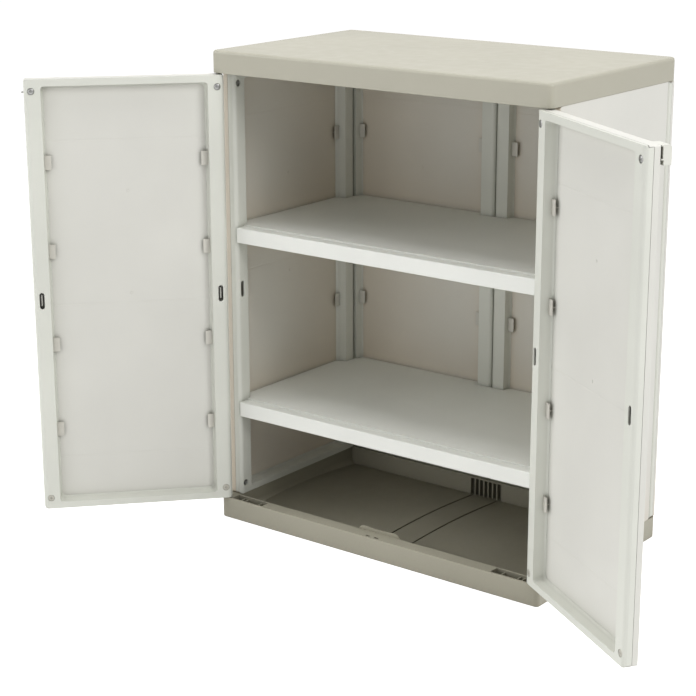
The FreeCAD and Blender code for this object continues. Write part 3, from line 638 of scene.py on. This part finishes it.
class EdgeShading:
    """Modifier that shades stepped rounds smooth and leaves shallow creases and true corners crisp."""

    face_weight: int = 60

    def __init__(self, flat_angle: float, crease_angle: float, round_angle: float) -> None:
        """Build the network.

        Args:
            flat_angle: Angle in degrees under which two faces are shaded as one surface.
            crease_angle: Angle up to which an edge above that is a pressed crease, and stays crisp.
            round_angle: Angle up to which an edge above that is a step of a round, and is smooth.
        """
        self.tree = bpy.data.node_groups.new("edge_shading", "GeometryNodeTree")
        for way in ("INPUT", "OUTPUT"):
            self.tree.interface.new_socket("Geometry", in_out=way, socket_type="NodeSocketGeometry")
        self.net = NodeNet(self.tree)
        turn = self.net.add("GeometryNodeInputMeshEdgeAngle").outputs["Unsigned Angle"]
        is_flat = self._compared(turn, "LESS_THAN", flat_angle)
        is_past_crease = self._compared(turn, "GREATER_THAN", crease_angle)
        is_round = self._compared(turn, "LESS_THAN", round_angle)
        is_step = self._joined("AND", is_past_crease, is_round)
        faces = self._shaded("FACE", self.net.add("NodeGroupInput").outputs[0], True)
        edges = self._shaded("EDGE", faces, self._joined("OR", is_flat, is_step))
        self.net.add("NodeGroupOutput", {0: edges})

    def _compared(self, angle: Socket, operation: str, limit: float) -> Socket:
        """Compare an angle with a limit.

        Args:
            angle: The angle.
            operation: Blender's name for the comparison.
            limit: The limit in degrees.

        Returns:
            Whether the angle lies on that side of the limit.
        """
        feeds = {0: angle, 1: math.radians(limit)}
        node = self.net.add("FunctionNodeCompare", feeds, data_type="FLOAT", operation=operation)
        return node.outputs["Result"]

    def _joined(self, operation: str, first: Socket, second: Socket) -> Socket:
        """Join two yes-or-no values."""
        feeds = {0: first, 1: second}
        return self.net.add("FunctionNodeBooleanMath", feeds, operation=operation).outputs["Boolean"]

    def _shaded(self, domain: str, source: Socket, smooth: Feed) -> Socket:
        """Return geometry with its faces or edges shaded smooth where asked."""
        feeds = {"Geometry": source, "Shade Smooth": smooth}
        return self.net.add("GeometryNodeSetShadeSmooth", feeds, domain=domain).outputs[0]

    def lay_on(self, piece: bpy.types.Object) -> None:
        """Put the network on a piece, and weigh its normals by face size.

        Args:
            piece: The piece.
        """
        shading = piece.modifiers.new("edge_shading", "NODES")
        shading.node_group = self.tree
        weighing = piece.modifiers.new("weighed_normals", "WEIGHTED_NORMAL")
        weighing.keep_sharp = True
        weighing.weight = self.face_weight


class Pieces:
    """Makes finished pieces and dresses the frame's nodes. Angles are in degrees, lengths in metres."""

    weld_distance: float = 0.00001
    flat_angle: float = 0.4
    corner_angle: float = 55.0
    corner_steps: int = 2
    smooth_angle: float = 40.0

    def __init__(self, palette: Palette) -> None:
        """Remember the palette that pieces are dressed from."""
        self.palette = palette
        self.shading = EdgeShading(flat_angle=3.0, crease_angle=15.0, round_angle=50.0)

    def finish_mesh(self, name: str, bm: bmesh.types.BMesh, body: Body, finish: Finish) -> bpy.types.Object:
        """Turn a mesh into a dressed piece that rides on a body.

        Args:
            name: Piece name.
            bm: The modelled mesh, freed afterwards.
            body: Body that carries the piece.
            finish: Its finish.

        Returns:
            The new object.
        """
        bmesh.ops.recalc_face_normals(bm, faces=bm.faces)
        limit = math.radians(self.smooth_angle)
        for face in bm.faces:
            face.smooth = True
        for edge in bm.edges:
            if len(edge.link_faces) == 2:
                edge.smooth = edge.calc_face_angle(0.0) < limit
        mesh = bpy.data.meshes.new(name)
        bm.to_mesh(mesh)
        bm.free()
        piece = bpy.data.objects.new(name, mesh)
        bpy.context.scene.collection.objects.link(piece)
        self.palette.dress(piece, finish)
        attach(piece, body.value)
        LOG.info("%s: %d faces, finish %s", name, len(mesh.polygons), finish.name)
        return piece

    def dress_node(self, node: str, finish: Finish, soften: float = 0.0) -> None:
        """Give a CAD node its finish and, where asked, softened edges.

        Args:
            node: Name of the node.
            finish: Its finish.
            soften: Width of the rounding laid on its sharp edges, or 0 for none.
        """
        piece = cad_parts[node]
        self.palette.dress(piece, finish)
        weld = piece.modifiers.new("weld", "WELD")
        weld.merge_threshold = self.weld_distance
        if soften > 0.0:
            self._soften(piece, soften)
        self.shading.lay_on(piece)
        LOG.info("%s: carried over, finish %s", node, finish.name)

    def _soften(self, piece: bpy.types.Object, width: float) -> None:
        """Merge a piece's flat faces and round its sharp edges.

        Args:
            piece: The piece.
            width: Width of the rounding.
        """
        merge = piece.modifiers.new("flat_faces", "DECIMATE")
        merge.decimate_type = "DISSOLVE"
        merge.angle_limit = math.radians(self.flat_angle)
        bevel = piece.modifiers.new("soft_edges", "BEVEL")
        bevel.width = width
        bevel.segments = self.corner_steps
        bevel.limit_method = "ANGLE"
        bevel.angle_limit = math.radians(self.corner_angle)
        bevel.use_clamp_overlap = True


@dataclass(frozen=True)
class Carcass:
    """Lid and base tray with their connector bars, and the shelving with its pegs."""

    trim_softening: float = 0.0008
    shelf_softening: float = 0.0006

    def build(self, pieces: Pieces) -> None:
        """Dress the nodes of the carcass.

        Args:
            pieces: Maker of finished pieces.
        """
        pieces.dress_node("lid", Finish.TRIM, self.trim_softening)
        pieces.dress_node("base", Finish.TRAY, self.trim_softening)
        pieces.dress_node("lid_connectors", Finish.CONNECTOR)
        pieces.dress_node("base_connectors", Finish.CONNECTOR)
        for level in ("upper", "lower"):
            pieces.dress_node(f"{level}_shelf", Finish.SHELF, self.shelf_softening)
            pieces.dress_node(f"{level}_shelf_pegs", Finish.PEG)


@dataclass(frozen=True)
class FixedUnits:
    """The two side units and the two back units with their clips and deep screws."""

    sizes: CabinetSizes
    screw: CrossHeadScrew
    seat_depth: float = 0.003
    screw_inset: float = 0.012
    screw_end: float = 0.020

    def build(self, pieces: Pieces) -> None:
        """Dress the panels, frames and clips, and model the screws.

        Args:
            pieces: Maker of finished pieces.
        """
        for side in Side:
            for kind in ("side", "back"):
                stem = f"{side.word}_{kind}"
                pieces.dress_node(f"{stem}_panel", Finish.WALL)
                pieces.dress_node(f"{stem}_frame", Finish.FRAME)
                pieces.dress_node(f"{stem}_clips", Finish.CLIP)
                self._screws(pieces, side, kind, stem)

    def _screws(self, pieces: Pieces, side: Side, kind: str, stem: str) -> None:
        """Model one unit's four screws on their connector bars.

        Args:
            pieces: Maker of finished pieces.
            side: Left or right unit.
            kind: Side or back unit.
            stem: Start of the unit's node names.
        """
        sizes = self.sizes
        is_side = kind == "side"
        place = sizes.side_place(side) if is_side else sizes.back_place(side)
        width = sizes.side_width if is_side else sizes.back_width
        seat = (sizes.side_thickness if is_side else sizes.back_thickness) - self.seat_depth
        bm = bmesh.new()
        for u in (self.screw_inset, width - self.screw_inset):
            for z in (self.screw_end, sizes.fixed_height - self.screw_end):
                self.screw.build(bm, place.stand(u, seat, z))
        piece = pieces.finish_mesh(f"{stem}_screw_set", bm, Body.CABINET, Finish.SCREW_STEEL)
        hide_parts(f"{stem}_screws")


@dataclass(frozen=True)
class DoorLeaf:
    """One door: panel, frame, clips, pins, two steel screws above and two resin plugs below."""

    side: Side
    sizes: CabinetSizes
    screw: CrossHeadScrew
    plug: CrossHeadScrew
    seat_depth: float = 0.0014
    fixing_inset: float = 0.012
    fixing_end: float = 0.020

    @property
    def body(self) -> Body:
        """The body that this leaf is."""
        return Body.LEFT_DOOR if self.side is Side.LEFT else Body.RIGHT_DOOR

    def build(self, pieces: Pieces) -> None:
        """Dress the leaf's nodes and model its fixings.

        Args:
            pieces: Maker of finished pieces.
        """
        stem = f"{self.side.word}_door"
        pieces.dress_node(f"{stem}_panel", Finish.PANEL)
        pieces.dress_node(f"{stem}_frame", Finish.FRAME)
        pieces.dress_node(f"{stem}_clips", Finish.CLIP)
        pieces.dress_node(f"{stem}_pins", Finish.PIN)
        top = self.sizes.door_height - self.fixing_end
        place = self.sizes.door_place(self.side)
        seat = self.sizes.door_thickness - self.seat_depth
        for label, screw, z, finish in (
            ("screws", self.screw, top, Finish.SCREW_STEEL),
            ("plugs", self.plug, self.fixing_end, Finish.PLUG),
        ):
            bm = bmesh.new()
            for u in (self.fixing_inset, self.sizes.door_width - self.fixing_inset):
                screw.build(bm, place.stand(u, seat, z))
            piece = pieces.finish_mesh(f"{stem}_{label}_set", bm, self.body, finish)
            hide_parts(f"{stem}_{label}")


@dataclass(frozen=True)
class Latch:
    """Catch plate with its tongue and screws on the left door, and the block on the right."""

    sizes: CabinetSizes
    screw: CrossHeadScrew
    block_height: float = 0.021
    tongue_clearance: float = 0.001
    plate_width: float = 0.028
    plate_height: float = 0.018
    plate_thickness: float = 0.0016
    screw_shares: Span = (0.27, 0.73)

    def build(self, pieces: Pieces) -> None:
        """Dress the latch's nodes and model the plate's screws.

        Args:
            pieces: Maker of finished pieces.
        """
        pieces.dress_node("catch_plate", Finish.CATCH_STEEL)
        pieces.dress_node("latch_block", Finish.LATCH)
        bm = bmesh.new()
        place = self.sizes.door_place(Side.LEFT)
        outward = UnitPlace(place.corner, place.along, -place.inward)
        start = self.sizes.door_width - self.plate_width
        under = self.sizes.door_height - self.sizes.edge_inset - self.block_height
        middle = under - self.tongue_clearance - self.plate_height / 2
        for share in self.screw_shares:
            u = start + self.plate_width * share
            self.screw.build(bm, outward.stand(u, self.plate_thickness, middle))
        piece = pieces.finish_mesh("catch_plate_screw_set", bm, Body.LEFT_DOOR, Finish.SCREW_STEEL)
        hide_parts("catch_plate_screws")


@dataclass(frozen=True)
class SoftBox:
    """One soft lamp: where it stands, what it looks at, its size and its power."""

    name: str
    place: Place
    aim: Place
    width: float
    height: float
    power: float

    def build(self) -> None:
        """Hang the lamp."""
        data = bpy.data.lights.new(self.name, "AREA")
        data.shape = "RECTANGLE"
        data.size = self.width
        data.size_y = self.height
        data.energy = self.power
        lamp = bpy.data.objects.new(self.name, data)
        bpy.context.scene.collection.objects.link(lamp)
        lamp.location = self.place
        look = Vector(self.aim) - Vector(self.place)
        lamp.rotation_euler = look.to_track_quat("-Z", "Y").to_euler()


@dataclass(frozen=True)
class Studio:
    """Pale floor, white surround, soft lamps and the camera, whose angles are in degrees."""

    camera_place: Place = (1.7769084, -2.5521743, 1.2358269)
    azimuth: float = 37.4626
    elevation: float = 16.2295
    roll: float = -0.0944
    lens: float = 95.186
    film_width: float = 36.0
    shift: Span = (-0.01166, 0.00240)
    surround: float = 0.35
    floor_colour: Rgb = (240, 240, 240)
    floor_drift: float = 0.01
    floor_cloud: Pattern = Pattern(1.5, 2.0)
    floor_glow: float = 0.72
    floor_reach: float = 12.0
    floor_cells: int = 4
    lamps: tuple[SoftBox, ...] = (
        SoftBox("key_lamp", (3.1, -0.7, 2.4), (0.0, 0.0, 0.4), 1.6, 1.6, 60.0),
        SoftBox("top_lamp", (0.0, 0.0, 3.2), (0.0, 0.0, 0.0), 2.4, 2.4, 50.0),
        SoftBox("fill_lamp", (-3.0, -2.0, 1.8), (0.3, -0.3, 0.4), 2.0, 1.6, 47.0),
        SoftBox("front_lamp", (-0.4, -3.4, 0.9), (0.0, 0.0, 0.4), 1.8, 1.4, 13.0),
    )

    def build(self) -> None:
        """Set up the surround, the floor, the lamps and the camera."""
        scene = bpy.context.scene
        scene.view_settings.view_transform = "Standard"
        self._surround(scene)
        self._floor()
        for lamp in self.lamps:
            lamp.build()
        self._camera(scene)

    def _surround(self, scene: bpy.types.Scene) -> None:
        """Make the world white to the eye and softer to the object.

        Args:
            scene: The scene that takes it.
        """
        net = ShaderNet(bpy.data.worlds.new("surround"))
        strength = net.ranged(net.seen_share(), (0.0, 1.0), (self.surround, 1.0))
        background = net.add("ShaderNodeBackground", {"Color": (1.0, 1.0, 1.0, 1.0), "Strength": strength})
        net.add("ShaderNodeOutputWorld", {"Surface": background.outputs["Background"]})
        scene.world = net.owner

    def _floor(self) -> None:
        """Lay the floor, which keeps the object's shadow and is white elsewhere."""
        bm = bmesh.new()
        cells = self.floor_cells
        bmesh.ops.create_grid(bm, x_segments=cells, y_segments=cells, size=self.floor_reach)
        mesh = bpy.data.meshes.new("studio_floor")
        bm.to_mesh(mesh)
        bm.free()
        floor = bpy.data.objects.new("studio_floor", mesh)
        bpy.context.scene.collection.objects.link(floor)
        net = ShaderNet(bpy.data.materials.new("studio_floor_paint"))
        deep, pale = (shaded(self.floor_colour, tint) for tint in (-self.floor_drift, self.floor_drift))
        matt = net.add("ShaderNodeBsdfDiffuse", {"Color": net.mixed(net.noise(self.floor_cloud), deep, pale)})
        reach = net.add("ShaderNodeMath", {0: net.seen_share(), 1: self.floor_glow}, operation="MULTIPLY")
        glow = net.add("ShaderNodeEmission", {"Strength": reach.outputs[0]})
        both = net.add("ShaderNodeAddShader", {0: matt.outputs["BSDF"], 1: glow.outputs["Emission"]})
        net.add("ShaderNodeOutputMaterial", {"Surface": both.outputs["Shader"]})
        mesh.materials.append(net.owner)

    def _camera(self, scene: bpy.types.Scene) -> None:
        """Place the camera at the viewing angle.

        Args:
            scene: The scene that it looks at.
        """
        data = bpy.data.cameras.new("studio_camera")
        data.lens = self.lens
        data.sensor_width = self.film_width
        data.shift_x, data.shift_y = self.shift
        camera = bpy.data.objects.new("studio_camera", data)
        scene.collection.objects.link(camera)
        turn, tilt, roll = (math.radians(angle) for angle in (self.azimuth, self.elevation, self.roll))
        level = Vector((-math.sin(turn), math.cos(turn), 0.0))
        ahead = Vector((level.x * math.cos(tilt), level.y * math.cos(tilt), -math.sin(tilt)))
        right = Vector((math.cos(turn), math.sin(turn), 0.0))
        up = right.cross(ahead)
        rolled_right = right * math.cos(roll) + up * math.sin(roll)
        rolled_up = up * math.cos(roll) - right * math.sin(roll)
        turned = Matrix((rolled_right, rolled_up, -ahead)).transposed().to_4x4()
        camera.matrix_world = Matrix.Translation(self.camera_place) @ turned
        scene.camera = camera


DOOR_SCREW = CrossHeadScrew(
    head_radius=0.0055, head_height=0.0016, shank_radius=0.002, shank_length=0.016,
    recess_arm=0.0030, recess_width=0.0011, recess_depth=0.0012,
)
DOOR_PLUG = CrossHeadScrew(
    head_radius=0.0058, head_height=0.0016, shank_radius=0.002, shank_length=0.016,
    recess_arm=0.0032, recess_width=0.0014, recess_depth=0.0010,
)
DEEP_SCREW = CrossHeadScrew(
    head_radius=0.0052, head_height=0.0016, shank_radius=0.002, shank_length=0.007,
    recess_arm=0.0028, recess_width=0.0010, recess_depth=0.0011,
)
CATCH_SCREW = CrossHeadScrew(
    head_radius=0.0030, head_height=0.0012, shank_radius=0.0016, shank_length=0.0045,
    recess_arm=0.0017, recess_width=0.0007, recess_depth=0.0007,
)


def main() -> None:
    """Build the cabinet's looks and the studio round it."""
    logging.basicConfig(level=logging.INFO, format="%(name)s %(message)s")
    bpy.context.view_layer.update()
    sizes = CabinetSizes()
    pieces = Pieces(Palette())
    Carcass().build(pieces)
    FixedUnits(sizes, DEEP_SCREW).build(pieces)
    for side in Side:
        DoorLeaf(side, sizes, DOOR_SCREW, DOOR_PLUG).build(pieces)
    Latch(sizes, CATCH_SCREW).build(pieces)
    Studio().build()


if __name__ == "__main__":
    main()
